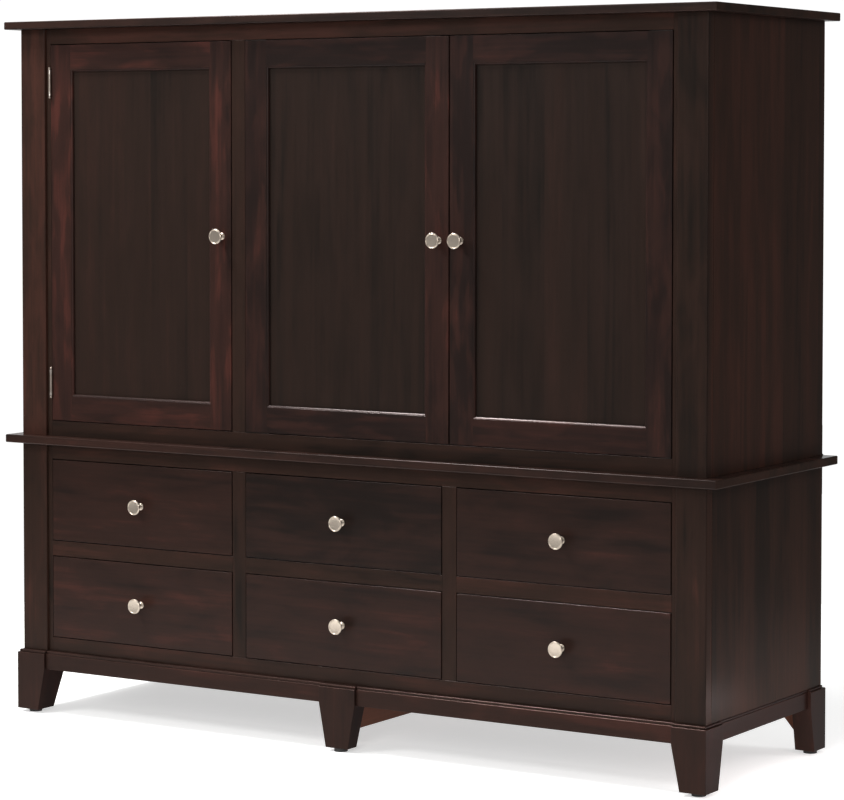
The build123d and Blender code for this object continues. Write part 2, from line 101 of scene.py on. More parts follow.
class Number:
    """A number that varies over a surface. Sums written with it become Math nodes."""

    def __init__(self, maker, socket):
        self.maker = maker
        self.socket = socket

    def math(self, operation, *others):
        return self.maker.math(operation, self, *others)

    def __add__(self, other):
        return self.math("ADD", other)

    def __sub__(self, other):
        return self.math("SUBTRACT", other)

    def __mul__(self, other):
        return self.math("MULTIPLY", other)

    def __truediv__(self, other):
        return self.math("DIVIDE", other)

    def __rsub__(self, other):
        return self.maker.math("SUBTRACT", other, self)

    def __rtruediv__(self, other):
        return self.maker.math("DIVIDE", other, self)

    __radd__ = __add__
    __rmul__ = __mul__

    def clamp(self, low=0.0, high=1.0):
        return self.math("MAXIMUM", low).math("MINIMUM", high)

    def ramp(self, low, high):
        """Nought below low, one above high and a smooth rise between."""
        node = self.maker.add("ShaderNodeMapRange", {"interpolation_type": "SMOOTHSTEP"},
                              {"Value": self, "From Min": low, "From Max": high})
        return Number(self.maker, node.outputs["Result"])


class NodeMaker:
    """Adds nodes to the tree of a material, of the world or of a mesh."""

    def __init__(self, tree):
        self.tree = tree

    def link(self, socket, value):
        if isinstance(value, Number):
            value = value.socket
        if isinstance(value, bpy.types.NodeSocket):
            self.tree.links.new(value, socket)
        else:
            socket.default_value = value

    def add(self, kind, settings, values):
        """A node with its settings, and then the values or links of its sockets."""
        node = self.tree.nodes.new(kind)
        for name, value in settings.items():
            setattr(node, name, value)
        for name, value in values.items():
            self.link(node.inputs[name], value)
        return node

    def math(self, operation, *values):
        node = self.add("ShaderNodeMath", {"operation": operation}, dict(enumerate(values)))
        return Number(self, node.outputs[0])

    def vector_math(self, operation, *values):
        return self.add("ShaderNodeVectorMath", {"operation": operation}, dict(enumerate(values)))

    def vector(self, x=0.0, y=0.0, z=0.0):
        return self.add("ShaderNodeCombineXYZ", {}, {"X": x, "Y": y, "Z": z}).outputs[0]

    def parts(self, vector):
        outputs = self.add("ShaderNodeSeparateXYZ", {}, {"Vector": vector}).outputs
        return [Number(self, socket) for socket in outputs]


class Finish(NodeMaker):
    """One material and the nodes in it."""

    def __init__(self, name):
        self.material = bpy.data.materials.new(name)
        self.material.use_nodes = True
        super().__init__(self.material.node_tree)
        self.surface = self.tree.nodes["Principled BSDF"]

    def attribute(self, name, output):
        return self.add("ShaderNodeAttribute", {"attribute_name": name}, {}).outputs[output]

    def place(self):
        return self.add("ShaderNodeTexCoord", {}, {}).outputs["Object"]

    def noise(self, vector, scale, detail=3.0, roughness=0.5, distortion=0.0):
        node = self.add("ShaderNodeTexNoise", {}, {"Vector": vector, "Scale": scale, "Detail": detail,
                                                   "Roughness": roughness, "Distortion": distortion})
        return Number(self, node.outputs["Fac"])

    def grain_noise(self, vector, along, across, detail, roughness, distortion=0.0):
        """Noise drawn out along the grain, with its waves per metre along and across it."""
        stretched = self.vector_math("MULTIPLY", vector, (along, across, across)).outputs[0]
        return self.noise(stretched, 1.0, detail, roughness, distortion)

    def white_noise(self, value):
        node = self.add("ShaderNodeTexWhiteNoise", {"noise_dimensions": "1D"}, {"W": value})
        return Number(self, node.outputs["Value"])

    def mix(self, share, first, second):
        """A mixed colour. The node has sockets of every type, so the colour ones are picked by number."""
        share_socket, first_socket, second_socket, result_socket = 0, 6, 7, 2
        node = self.add("ShaderNodeMix", {"data_type": "RGBA"}, {
            share_socket: share, first_socket: first, second_socket: second})
        return node.outputs[result_socket]

    def bump(self, height, strength, distance):
        node = self.add("ShaderNodeBump", {}, {"Height": height, "Strength": strength, "Distance": distance})
        return node.outputs["Normal"]

    def finish(self, values):
        for name, value in values.items():
            self.link(self.surface.inputs[name], value)
        return self.material


def rgb(red, green, blue):
    return (red, green, blue, 1.0)


def scaled(colour, factor):
    return rgb(*[part * factor for part in colour[:3]])


def stained_wood(name, colour, redness=1.0, contrast=1.0, blotch=1.0, strip=0.0, strip_contrast=0.0,
                 gloss=0.34, shine=0.1, figure=0.05, relief=0.07, warmth=0.0):
    """Dark stained boards. Their own coordinates run along the grain, across it and into it.

    A strip is the width of the boards that a panel is glued from. Figure is the weight of soft red patches.
    """
    wood = Finish(name)
    coordinates = wood.attribute("grain", "Vector")
    tone = Number(wood, wood.attribute("tone", "Fac"))
    if strip:
        _, across, depth = wood.parts(coordinates)
        shade = wood.white_noise(((across + depth) / strip).math("FLOOR"))
        tone = tone + (shade - 0.5) * strip_contrast
        shift = wood.vector(shade * 7.0, shade * 2.0, shade * 3.0)
        coordinates = wood.vector_math("ADD", coordinates, shift).outputs[0]
    streaks = wood.grain_noise(coordinates, 3.0, 110.0, 4.0, 0.6, 0.4)
    bands = wood.grain_noise(coordinates, 1.0, 15.0, 3.0, 0.55, 1.3)
    cloud = wood.grain_noise(coordinates, 5.0, 15.0, 3.0, 0.55, 0.7)
    pores = wood.grain_noise(coordinates, 36.0, 1100.0, 2.0, 0.5)
    patches = wood.grain_noise(coordinates, 6.0, 26.0, 3.0, 0.5, 0.7)
    patches = patches.ramp(0.46, 0.66) * (0.6 + streaks * 0.8) * figure - figure * 0.4
    level = (bands - 0.5) * 1.3 + (streaks - 0.5) * 0.75 + (cloud - 0.5) * (1.3 * blotch)
    level = (level * contrast + patches + tone + 0.5).clamp()
    dark_shares = (0.50, 0.66, 0.72)
    light_gains = (0.95, 0.45, 0.40)
    dark = rgb(*[part * share for part, share in zip(colour, dark_shares)])
    light = rgb(*[part * (1.0 + gain * redness) for part, gain in zip(colour, light_gains)])
    low = wood.mix(level.ramp(0.05, 0.52), dark, colour)
    tint = wood.mix(level.ramp(0.48, 0.95), low, light)
    tint = wood.mix(pores.ramp(0.60, 0.72) * 0.4, tint, scaled(dark, 0.7))
    rough = gloss + (streaks - 0.5) * 0.12 + (cloud - 0.5) * 0.12
    return wood.finish({
        "Base Color": tint, "Roughness": rough.clamp(0.05, 1.0), "Specular IOR Level": shine,
        "Specular Tint": rgb(1.0, 1.0 - warmth, 1.0 - 1.2 * warmth),
        "Normal": wood.bump(streaks * 0.5 + pores * 0.5, relief, 0.2 * MM)})


def stained_pair(name, colour, edge_shine=0.6, edge_warmth=0.18, **options):
    """A stained finish for flat faces, and the same finish with the brighter polish of rounded edges."""
    edge = {**options, "shine": edge_shine, "gloss": 0.27, "relief": 0.025, "warmth": edge_warmth}
    return stained_wood(name, colour, **options), stained_wood(name + "_edge", colour, **edge)


def clear_wood(name, dark, mid, light, gloss=0.45, contrast=1.0, shine=0.5):
    """Pale or unstained boards."""
    wood = Finish(name)
    coordinates = wood.attribute("grain", "Vector")
    tone = Number(wood, wood.attribute("tone", "Fac"))
    rings = wood.grain_noise(coordinates, 1.2, 34.0, 4.0, 0.55, 1.4)
    fibre = wood.grain_noise(coordinates, 9.0, 420.0, 3.0, 0.6)
    level = (((rings - 0.5) * 1.5 + (fibre - 0.5) * 0.5) * contrast + tone + 0.5).clamp()
    low = wood.mix(level.ramp(0.0, 0.5), dark, mid)
    tint = wood.mix(level.ramp(0.5, 1.0), low, light)
    rough = gloss + (fibre - 0.5) * 0.15
    return wood.finish({
        "Base Color": tint, "Roughness": rough.clamp(0.05, 1.0), "Specular IOR Level": shine,
        "Normal": wood.bump(fibre, 0.08, 0.15 * MM)})


def metal(name, colour, roughness):
    steel = Finish(name)
    place = steel.place()
    wear = steel.noise(place, 900.0, 3.0)
    broad = steel.noise(place, 60.0, 2.0)
    rough = roughness + (wear - 0.5) * 0.08 + (broad - 0.5) * 0.08
    return steel.finish({
        "Base Color": steel.mix(broad, colour, scaled(colour, 0.86)), "Metallic": 1.0,
        "Roughness": rough.clamp(0.05, 1.0), "Normal": steel.bump(wear, 0.06, 0.05 * MM)})


def turned_metal(name, colour, roughness):
    """Metal with the fine circles that turning leaves. The ring attribute is the distance from the axis."""
    steel = Finish(name)
    ring = steel.attribute("ring", "Fac")
    circles = steel.add("ShaderNodeTexNoise", {"noise_dimensions": "1D"},
                        {"W": ring, "Scale": 2600.0, "Detail": 2.0})
    circles = Number(steel, circles.outputs["Fac"])
    wear = steel.noise(steel.place(), 300.0, 3.0)
    rough = roughness + (circles - 0.5) * 0.1 + (wear - 0.5) * 0.08
    return steel.finish({
        "Base Color": steel.mix(wear, colour, scaled(colour, 0.88)), "Metallic": 1.0,
        "Roughness": rough.clamp(0.05, 1.0), "Normal": steel.bump(circles, 0.7, 0.06 * MM)})


def plastic(name, colour, roughness):
    dull = Finish(name)
    speckle = dull.noise(dull.place(), 1500.0, 2.0)
    return dull.finish({"Base Color": dull.mix(speckle, colour, scaled(colour, 0.7)), "Roughness": roughness,
                        "Normal": dull.bump(speckle, 0.1, 0.05 * MM)})


frame_wood = stained_pair("espresso_frame", rgb(0.0232, 0.0128, 0.0096), contrast=0.65, shine=0.06)
door_wood = stained_pair("espresso_door", rgb(0.0255, 0.0115, 0.0090), redness=1.25, contrast=0.7,
                         figure=0.27)
panel_wood = stained_pair("espresso_panel", rgb(0.0180, 0.0105, 0.0080), redness=0.7, contrast=0.55,
                          blotch=0.5, strip=0.11, strip_contrast=0.14)
drawer_face_wood = stained_pair("espresso_drawer", rgb(0.022, 0.0108, 0.0082), contrast=0.6, blotch=1.1,
                                figure=0.12)
side_wood = stained_pair("espresso_side", rgb(0.0258, 0.0133, 0.0096), redness=0.7, contrast=0.7, blotch=0.6,
                         shine=0.02, strip=0.092, strip_contrast=0.22)
top_wood = stained_pair("espresso_top", rgb(0.026, 0.0125, 0.0095), edge_shine=0.2, contrast=0.7, strip=0.12,
                        strip_contrast=0.25)
base_wood = stained_pair("espresso_base", rgb(0.0238, 0.0126, 0.0099), edge_shine=0.42, edge_warmth=0.4,
                         redness=0.8, contrast=0.6, shine=0.05)
# A darker copy of the base stain for faces turned sideways: painted shade on the sides of the feet, aprons
# and moulding.
base_side_painted_shade = stained_wood("espresso_base_side", rgb(0.0150, 0.0070, 0.0056), redness=0.8, contrast=0.6,
                         shine=0.03)
raw_wood = clear_wood("raw_hardwood", rgb(0.062, 0.018, 0.008), rgb(0.115, 0.035, 0.016),
                      rgb(0.175, 0.060, 0.028), gloss=0.6, shine=0.22)
box_wood = clear_wood("clear_maple", rgb(0.48, 0.30, 0.16), rgb(0.61, 0.43, 0.26), rgb(0.72, 0.56, 0.38),
                      gloss=0.4, contrast=0.6)
end_grain = clear_wood("maple_end_grain", rgb(0.26, 0.15, 0.075), rgb(0.36, 0.22, 0.115),
                       rgb(0.46, 0.30, 0.17), gloss=0.6)
nickel = metal("satin_nickel_metal", rgb(0.36, 0.30, 0.255), 0.38)
bright_nickel = metal("bright_nickel", rgb(0.76, 0.69, 0.63), 0.28)
knob_nickel = turned_metal("turned_nickel", rgb(0.66, 0.565, 0.47), 0.30)
zinc = metal("zinc_plate", rgb(0.55, 0.56, 0.58), 0.38)
dark_steel = metal("dark_steel", rgb(0.045, 0.042, 0.040), 0.45)
glide_plastic = plastic("dark_plastic", rgb(0.014, 0.011, 0.010), 0.65)


def islands(work):
    """The separate solids of a mesh, as lists of faces. Where solids touch, an edge has over two faces."""
    seen = set()
    groups = []
    for start in work.faces:
        if start in seen:
            continue
        seen.add(start)
        group = []
        waiting = [start]
        while waiting:
            face = waiting.pop()
            group.append(face)
            for edge in face.edges:
                if len(edge.link_faces) != 2:
                    continue
                for other in edge.link_faces:
                    if other not in seen:
                        seen.add(other)
                        waiting.append(other)
        groups.append(group)
    return groups


def span(group):
    """The lowest and highest corner of a group of faces."""
    places = [vertex.co for face in group for vertex in face.verts]
    low = Vector([min(place[i] for place in places) for i in range(3)])
    high = Vector([max(place[i] for place in places) for i in range(3)])
    return low, high


def node_solids(node):
    """An editable copy of a CAD node in which each solid has its own vertices."""
    work = bmesh.new()
    work.from_mesh(nodes[node].data)
    bmesh.ops.remove_doubles(work, verts=work.verts, dist=same_place)
    for group in islands(work)[1:]:
        bmesh.ops.split(work, geom=group)
    return work


def mesh_from(work, name, smooth):
    """A mesh from an editable copy, which is then freed."""
    mesh = bpy.data.meshes.new(name)
    work.to_mesh(mesh)
    work.free()
    mesh.polygons.foreach_set("use_smooth", [smooth] * len(mesh.polygons))
    return mesh


def new_object(name, data):
    made = bpy.data.objects.new(name, data)
    bpy.context.scene.collection.objects.link(made)
    return made


def hand_over(piece, body, slot, replaced=()):
    """Says which body a piece moves with and which CAD nodes it stands for. The slot is not used."""
    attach(piece, body)
    if replaced:
        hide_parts(*replaced)


def add_piece(name, mesh, material, body, slot, replaced=()):
    mesh.materials.append(material)
    hand_over(new_object(name, mesh), body, slot, replaced)


def finish_node(node, material):
    """Keeps the node's own mesh and gives it a better finish."""
    materials = nodes[node].data.materials
    materials.clear()
    materials.append(material)


def soften_edges(work, bevel):
    """Joins the flat triangles of the solids and rounds their sharp edges."""
    flat = math.radians(0.5)
    bmesh.ops.dissolve_limit(work, angle_limit=flat, verts=work.verts, edges=work.edges)
    corner = math.radians(50)
    sharp = [edge for edge in work.edges if len(edge.link_faces) == 2 and edge.calc_face_angle() > corner]
    bmesh.ops.bevel(work, geom=sharp, offset=bevel, offset_type="OFFSET", segments=2, profile=0.5,
                    affect="EDGES", clamp_overlap=True)


def lay_grain(work, seed, grain, tones, tone_spread, back_tone):
    """Gives each board its own place in the wood and its tone.

    The grain runs along the axis numbered grain, or else along the board's longest side.
    """
    grain_layer = work.verts.layers.float_vector.new("grain")
    tone_layer = work.verts.layers.float.new("tone")
    draw = random.Random(seed)
    log_length = 20
    groups = sorted(islands(work), key=lambda group: tuple(round(c, 4) for c in span(group)[0]))
    for index, group in enumerate(groups):
        low, high = span(group)
        size = high - low
        order = sorted(range(3), key=lambda i: -size[i])
        if grain is not None:
            order = [grain] + [i for i in order if i != grain]
        offset = Vector([draw.uniform(0, log_length) for _ in range(3)])
        tone = draw.uniform(-tone_spread, tone_spread) if index >= len(tones) else tones[index]
        for vertex in {vertex for face in group for vertex in face.verts}:
            vertex[grain_layer] = Vector([vertex.co[i] for i in order]) + offset
            vertex[tone_layer] = tone + back_tone * (vertex.co.y - low.y) / size.y


def share_finishes(mesh, finishes, thin_board, polished_top):
    """Sets the finish of each face: the flat one, the one of rounded front edges, or the one of the sides."""
    for finish in finishes:
        mesh.materials.append(finish)
    side_limit = 0.3 if thin_board else 0.9
    upright = 0.12
    level = 0.985
    front = -0.1
    for face in mesh.polygons:
        slope = abs(face.normal.z) if thin_board else face.normal.z
        rounded_front = upright < slope < level and face.normal.y < front
        flat_top = face.normal.z > level
        if len(finishes) > 2 and abs(face.normal.x) > side_limit:
            face.material_index = 2
        elif len(finishes) > 1 and (rounded_front or polished_top and flat_top):
            face.material_index = 1


def boards(node, finishes, slot, bevel=edge_bevel, tone_spread=0.1, grain=None, tones=(), back_tone=0.0,
           thin_board=False, polished_top=False):
    """The node's solids as boards with softened edges. Each has its own grain direction, place and tone."""
    work = node_solids(node)
    soften_edges(work, bevel)
    lay_grain(work, node, grain, tones, tone_spread, back_tone)
    mesh = mesh_from(work, node + "_boards", smooth=True)
    share_finishes(mesh, finishes, thin_board, polished_top)
    piece = new_object(node + "_boards", mesh)
    piece.modifiers.new("flat_faces", "WEIGHTED_NORMAL").weight = 80
    hand_over(piece, nodes[node]["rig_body"], slot, [node])


def split_node(node, groups):
    """Copies of a node's solids in several finishes. A group has a name, a finish, a slot and a span test."""
    for name, material, slot, belongs in groups:
        work = node_solids(node)
        extra = [face for group in islands(work) if not belongs(*span(group)) for face in group]
        bmesh.ops.delete(work, geom=extra, context="FACES")
        mesh = mesh_from(work, name, smooth=True)
        mesh.set_sharp_from_angle(angle=math.radians(35))
        add_piece(name, mesh, material, nodes[node]["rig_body"], slot, [node])


def polish_tips(name, material):
    """Gives the ball tips of the hinge pins a finish of their own. The pins are the tallest solids."""
    mesh = bpy.data.objects[name].data
    mesh.materials.append(material)
    work = bmesh.new()
    work.from_mesh(mesh)
    spans = [(group, *span(group)) for group in islands(work)]
    tallest = max(high.z - low.z for _, low, high in spans)
    for group, low, high in spans:
        if high.z - low.z < tallest - MM:
            continue
        for face in group:
            height = face.calc_center_median().z
            if min(height - low.z, high.z - height) < ball_tip_length:
                face.material_index = 1
    work.to_mesh(mesh)
    work.free()


# Radius and distance from the door or drawer front, in millimetres, from the foot of the knob to its face
knob_profile = (
    (0.0, 0.0), (8.9, 0.0), (8.9, 1.4), (8.6, 2.0), (8.0, 2.3), (7.3, 2.4), (7.0, 2.8), (7.0, 4.0),
    (6.7, 4.5), (6.1, 4.7), (5.2, 4.9), (4.8, 5.4), (4.6, 6.2), (4.5, 9.0), (4.5, 13.0), (4.6, 16.5),
    (4.9, 18.6), (5.8, 20.4), (7.6, 21.9), (10.2, 22.9), (13.2, 23.6), (16.0, 24.2), (17.2, 24.8),
    (17.9, 25.6), (18.2, 26.8), (18.0, 27.9), (17.5, 28.6), (16.9, 28.9), (16.3, 28.8), (15.9, 28.4),
    (15.7, 28.0), (15.4, 27.8), (15.1, 28.0), (14.8, 28.3), (14.3, 28.4), (13.9, 28.35), (9.0, 28.2),
    (5.0, 28.1), (0.0, 28.05))


def turned_knob(node, segments=64):
    """A knob turned about the Y axis, with its rings, neck, rim and dished face."""
    low, high = [Vector(corner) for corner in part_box(node)]
    middle = (low + high) / 2
    work = bmesh.new()
    ring_layer = work.verts.layers.float.new("ring")
    rows = []
    for radius, rise in knob_profile:
        row = []
        for i in range(1 if radius == 0 else segments):
            angle = 2 * math.pi * i / segments
            vertex = work.verts.new((middle.x + radius * MM * math.cos(angle), high.y - rise * MM,
                                     middle.z + radius * MM * math.sin(angle)))
            vertex[ring_layer] = radius * MM
            row.append(vertex)
        rows.append(row)
    for inner, outer in zip(rows, rows[1:]):
        for i in range(segments):
            j = (i + 1) % segments
            corners = [inner[i % len(inner)], inner[j % len(inner)],
                       outer[j % len(outer)], outer[i % len(outer)]]
            work.faces.new(list(dict.fromkeys(corners)))
    bmesh.ops.recalc_face_normals(work, faces=work.faces)
    mesh = mesh_from(work, node + "_turned", smooth=True)
    add_piece(node + "_turned", mesh, knob_nickel, nodes[node]["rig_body"], "satin_nickel", [node])


def case_boards():
    """The two cases, their face frames, panels and shelves."""
    post_wood = (*frame_wood, side_wood[0])
    boards("upper_corner_posts", post_wood, "stained_wood", tones=(0.22, -0.16), back_tone=0.5)
    boards("lower_corner_posts", post_wood, "stained_wood", tones=(0.02, -0.12), back_tone=0.2)
    # The given tones include a raised one for the header rail: painted light that offsets the shade under the
    # top's overhang.
    boards("upper_face_frame", frame_wood, "stained_wood", tones=(0.05, -0.1, 0.2))
    boards("lower_face_frame", frame_wood, "stained_wood")
    boards("partitions", frame_wood, "stained_wood")
    for node in ("top_board", "waist_board", "floor_boards", "adjustable_shelves"):
        boards(node, (*top_wood, side_wood[0]), "stained_wood", thin_board=True,
               polished_top=node != "top_board")
    boards("upper_side_panels", side_wood, "stained_wood", grain=2, tones=(0.0, 0.15), back_tone=-0.2)
    boards("lower_side_panels", side_wood, "stained_wood", grain=2, tones=(-0.1, -0.15))
    boards("back_panels", panel_wood, "stained_wood", grain=2)
    boards("slide_spacers", (box_wood,), "drawer_wood")


def base_boards():
    """The feet, aprons, moulding and hidden braces under the lower case."""
    # The third finish, on faces turned sideways, is the darker copy of the stain: painted shade.
    wood = (*base_wood, base_side_painted_shade)
    for node in ("front_feet", "rear_feet", "base_aprons"):
        boards(node, wood, "stained_wood")
    boards("base_moulding", wood, "stained_wood", thin_board=True, polished_top=True)
    boards("base_braces", (raw_wood,), "raw_wood")


def door_boards():
    """The three doors. The tones are those of the stiles and rails, in the order of their places."""
    frame_tones = {"left": (0.04, 0.0, 0.06, 0.08), "middle": (-0.2, -0.3, -0.2, 0.04),
                   "right": (-0.22, -0.14, -0.2, -0.3)}
    for door, tones in frame_tones.items():
        name = "door_" + door
        boards(name + "_frame", door_wood, "stained_wood", bevel=door_edge_bevel, tones=tones)
        boards(name + "_panel", panel_wood, "stained_wood", grain=2)
        turned_knob(name + "_knob")


def drawer_boards():
    """The six drawer fronts, boxes and knobs."""
    front_tones = {"upper": (0.0, -0.28, -0.1), "lower": (0.05, -0.02, 0.0)}
    for row in drawer_rows:
        for column, tone in zip(drawer_columns, front_tones[row]):
            name = "drawer_" + row + "_" + column
            boards(name + "_front", drawer_face_wood, "stained_wood", grain=0, tones=(tone,))
            boards(name + "_box", (box_wood,), "drawer_wood", tone_spread=0.06)
            turned_knob(name + "_knob")


def hardware():
    """Metal and plastic parts that keep the shape of their CAD nodes."""
    finish_node("door_left_hinges", nickel)
    for node in ("door_middle_hinges", "door_right_hinges", "rear_tie_plates"):
        finish_node(node, dark_steel)
    for node in ("slide_channels", "shelf_pins"):
        finish_node(node, zinc)
    for node in ("floor_glides", "door_catches"):
        finish_node(node, glide_plastic)
    left_door_low, left_door_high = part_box("door_left_frame")
    butt_limit = (left_door_low[0] + left_door_high[0]) / 2
    split_node("hinge_frame_leaves", [
        ("butt_frame_leaves", nickel, "satin_nickel", lambda low, high: low.x < butt_limit),
        ("pivot_frame_straps", dark_steel, "zinc_steel", lambda low, high: low.x > butt_limit)])
    polish_tips("butt_frame_leaves", bright_nickel)


def solid_mesh(name, vertices, faces, with_grain=False):
    """A mesh of closed flat-faced solids with its faces turned outwards."""
    rough = bpy.data.meshes.new(name + "_rough")
    rough.from_pydata(vertices, [], faces)
    work = bmesh.new()
    work.from_mesh(rough)
    bpy.data.meshes.remove(rough)
    bmesh.ops.recalc_face_normals(work, faces=work.faces)
    if with_grain:
        grain_layer = work.verts.layers.float_vector.new("grain")
        for vertex in work.verts:
            vertex[grain_layer] = vertex.co.copy()
    return mesh_from(work, name, smooth=False)


class HeadNodes(NodeMaker):
    """A Geometry Nodes tree that sets a fastener head on each point, with dark bars painted as the shade of a
    crossed recess if asked.
    """

    def __init__(self, name, radius, height):
        super().__init__(bpy.data.node_groups.new(name, "GeometryNodeTree"))
        self.tree.interface.new_socket("Places", in_out="INPUT", socket_type="NodeSocketGeometry")
        for label, value in (("Head Radius", radius), ("Head Height", height)):
            socket = self.tree.interface.new_socket(label, in_out="INPUT", socket_type="NodeSocketFloat")
            socket.default_value = value
        self.tree.interface.new_socket("Geometry", in_out="OUTPUT", socket_type="NodeSocketGeometry")
        given = self.add("NodeGroupInput", {}, {}).outputs
        self.places = given["Places"]
        self.radius = Number(self, given["Head Radius"])
        self.height = Number(self, given["Head Height"])

    def result(self, kind, values):
        """What a node without settings gives."""
        return self.add(kind, {}, values).outputs[0]

    def join(self, parts):
        node = self.add("GeometryNodeJoinGeometry", {}, {})
        for part in parts:
            self.link(node.inputs[0], part)
        return node.outputs[0]

    def head(self):
        """A low cone with a flat top."""
        top_share = 0.72
        return self.result("GeometryNodeMeshCone", {
            "Vertices": 20, "Radius Top": self.radius * top_share, "Radius Bottom": self.radius,
            "Depth": self.height})

    def cross(self):
        """Two thin dark bars across the top of the head: painted shade that stands for the crossed recess."""
        width_share = 0.24
        height_share = 0.2
        rise_share = 0.94
        bars = []
        for long, short in ((1.0, width_share), (width_share, 1.0)):
            size = self.vector(self.radius * long, self.radius * short, self.height * height_share)
            rise = self.vector(z=self.height * rise_share)
            bar = self.result("GeometryNodeMeshCube", {"Size": size})
            bars.append(self.result("GeometryNodeTransform", {"Geometry": bar, "Translation": rise}))
        return self.join(bars)

    def spread(self, shape, material):
        """The shape at every place, turned by the place's own angles, as a real mesh with its finish."""
        turn = self.add("GeometryNodeInputNamedAttribute", {"data_type": "FLOAT_VECTOR"}, {"Name": "turn"})
        rotation = self.result("FunctionNodeEulerToRotation", {0: turn.outputs["Attribute"]})
        copies = self.result("GeometryNodeInstanceOnPoints", {
            "Points": self.places, "Instance": shape, "Rotation": rotation})
        real = self.result("GeometryNodeRealizeInstances", {0: copies})
        return self.result("GeometryNodeSetMaterial", {"Geometry": real, "Material": material})

    def finish(self, parts):
        self.add("NodeGroupOutput", {}, {"Geometry": self.join(parts)})
        return self.tree


def scatter(name, places, head, recess_shade_finish, body, slot, radius, height):
    """Fastener heads on a list of places and outward directions. When a finish for them is given, each head
    also gets dark bars that are painted shade for a crossed recess.
    """
    maker = HeadNodes(name, radius, height)
    parts = [maker.spread(maker.head(), head)]
    # Dark bars of painted shade where the recess would be
    if recess_shade_finish:
        parts.append(maker.spread(maker.cross(), recess_shade_finish))
    points = bpy.data.meshes.new(name + "_places")
    points.from_pydata([place for place, _ in places], [], [])
    turns = points.attributes.new("turn", "FLOAT_VECTOR", "POINT")
    draw = random.Random(name)
    for i, (_, way) in enumerate(places):
        twist = Euler((0.0, 0.0, draw.uniform(0.0, math.pi))).to_quaternion()
        turns.data[i].vector = (Vector(way).to_track_quat("Z", "Y") @ twist).to_euler()
    holder = new_object(name + "_places", points)
    holder.modifiers.new("scatter", "NODES").node_group = maker.finish(parts)
    evaluated = holder.evaluated_get(bpy.context.evaluated_depsgraph_get())
    mesh = bpy.data.meshes.new_from_object(evaluated)
    bpy.data.objects.remove(holder)
    mesh.name = name
    hand_over(new_object(name, mesh), body, slot)


def hinge_screws():
    """Three flush screws in each leaf of the two butt hinges."""
    door_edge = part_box("door_left_frame")[0][0]
    low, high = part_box("door_left_hinges")
    on_door = []
    on_frame = []
    for bottom in (low[2], high[2] - butt_length):
        for i, depth in enumerate(hinge_screw_depths):
            z = bottom + first_hinge_screw + i * hinge_screw_pitch
            y = high[1] - depth
            on_door.append(((door_edge - leaf_thickness, y, z), (-1, 0, 0)))
            on_frame.append(((door_edge - door_gap + leaf_thickness, y, z), (1, 0, 0)))
    size = {"radius": 2.6 * MM, "height": 0.12 * MM}
    scatter("door_left_hinge_screws", on_door, nickel, dark_steel, "door_left", "satin_nickel", **size)
    scatter("frame_hinge_screws", on_frame, nickel, dark_steel, "cabinet", "satin_nickel", **size)


def partition_middles():
    """The X of the middle of each upright board inside the cases."""
    work = bmesh.new()
    work.from_mesh(nodes["partitions"].data)
    bmesh.ops.remove_doubles(work, verts=work.verts, dist=same_place)
    spans = [span(group) for group in islands(work)]
    work.free()
    return sorted({round((low.x + high.x) / 2, 4) for low, high in spans})


def back_nails():
    """Small nails around the edges of both back panels and along the partitions."""
    inset = 5 * MM
    spaces_across = 14
    spaces_up = 6
    outward = (0, 1, 0)
    places = []
    low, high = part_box("back_panels")
    waist_low, waist_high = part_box("waist_board")
    y = high[1]
    left = low[0] + inset
    right = high[0] - inset
    columns = [left, right] + partition_middles()
    for bottom, top in ((low[2], waist_low[2]), (waist_high[2], high[2])):
        for i in range(spaces_across + 1):
            x = left + (high[0] - low[0] - 2 * inset) * i / spaces_across
            places += [((x, y, bottom + inset), outward), ((x, y, top - inset), outward)]
        for x in columns:
            for i in range(1, spaces_up):
                places.append(((x, y, bottom + (top - bottom) * i / spaces_up), outward))
    scatter("back_panel_nails", places, zinc, None, "cabinet", "zinc_steel", radius=2.6 * MM, height=0.8 * MM)


def shelf_hole_shade_discs():
    """Rows of flat dark discs in the left side and in the partition beside it: painted shade that stands for
    the small holes for the shelf pins.
    """
    low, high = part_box("shelf_pins")
    spare = 3
    places = []
    for y in (low[1] + pin_radius, high[1] - pin_radius):
        for k in range(-spare, int((high[2] - low[2]) / pin_hole_pitch) + spare + 1):
            z = low[2] + pin_radius + k * pin_hole_pitch + pin_hole_pitch / 2
            places += [((low[0], y, z), (1, 0, 0)), ((high[0], y, z), (-1, 0, 0))]
    # The discs are painted shade, not holes
    scatter("shelf_pin_holes", places, glide_plastic, None, "cabinet", "stained_wood", radius=2.6 * MM,
            height=0.1 * MM)


def rail_shape(web, far, low, high, side):
    """A rolled steel rail. Its web lies on the drawer, and its two lips reach out to far."""
    z0 = low[2]
    z1 = high[2]
    inner = web + side * rail_wall
    lip_inside = far - side * rail_wall
    outline = [(web, z0), (far, z0), (far, z0 + rail_lip), (lip_inside, z0 + rail_lip),
               (lip_inside, z0 + rail_wall), (inner, z0 + rail_wall), (inner, z1 - rail_wall),
               (lip_inside, z1 - rail_wall), (lip_inside, z1 - rail_lip), (far, z1 - rail_lip), (far, z1),
               (web, z1)]
    count = len(outline)
    vertices = [(x, y, z) for y in (low[1], high[1]) for x, z in outline]
    faces = [(i, (i + 1) % count, count + (i + 1) % count, count + i) for i in range(count)]
    faces += [tuple(range(count)), tuple(range(2 * count - 1, count - 1, -1))]
    return vertices, faces


